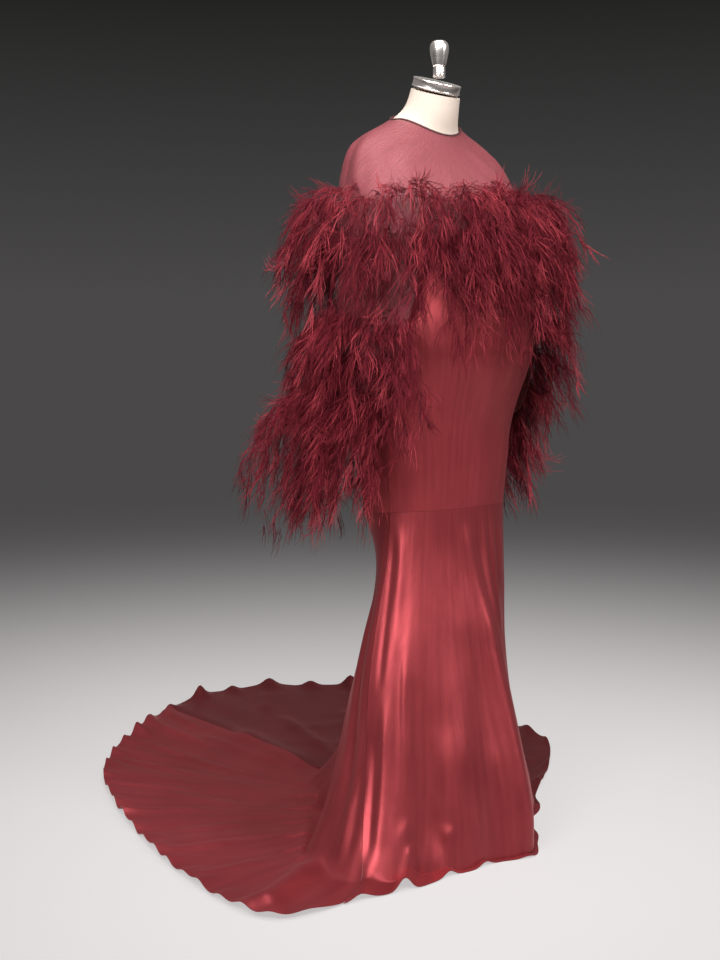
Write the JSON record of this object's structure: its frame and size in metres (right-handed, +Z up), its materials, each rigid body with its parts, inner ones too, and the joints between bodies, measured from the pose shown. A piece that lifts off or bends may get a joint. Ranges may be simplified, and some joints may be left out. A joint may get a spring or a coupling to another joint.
{
  "type": "feather cape dress on a dress form",
  "caption": "Satin trumpet gown with a long train under a sheer cape with tiers of feathers, on a limbless dress form with a round base.",
  "frame": {"origin": "centre of the stand base's underside, on the floor", "axes": "+Z up, the wearer's front faces -Y, the wearer's left is +X, the train runs to +Y"},
  "size_m": [1.3248, 1.5048, 1.7435],
  "materials": {
    "satin": "glossy wine-red satin with a soft sheen",
    "tulle": "sheer wine-red tulle",
    "binding": "narrow dark binding",
    "feather": "dyed ostrich feather, wine-red",
    "form_cloth": "plain cream canvas",
    "chrome": "polished metal",
    "stand_paint": "satin black paint"
  },
  "bodies": {
    "root": {"gown_front": "satin", "gown_back": "satin", "skirt_front": "satin", "skirt_back_right": "satin", "skirt_back_left": "satin", "cape_yoke": "tulle", "cape_fall": "tulle", "cape_neck_binding": "binding", "tier1_upper": "feather", "tier1_lower": "feather", "tier2_upper": "feather", "tier2_lower": "feather", "tier3_upper": "feather", "tier3_lower": "feather", "form_torso": "form_cloth", "form_armplate_left": "form_cloth", "form_armplate_right": "form_cloth", "form_neck_cap": "chrome", "form_finial": "chrome", "stand_pole": "stand_paint", "stand_base": "stand_paint"}
  },
  "joints": []
}
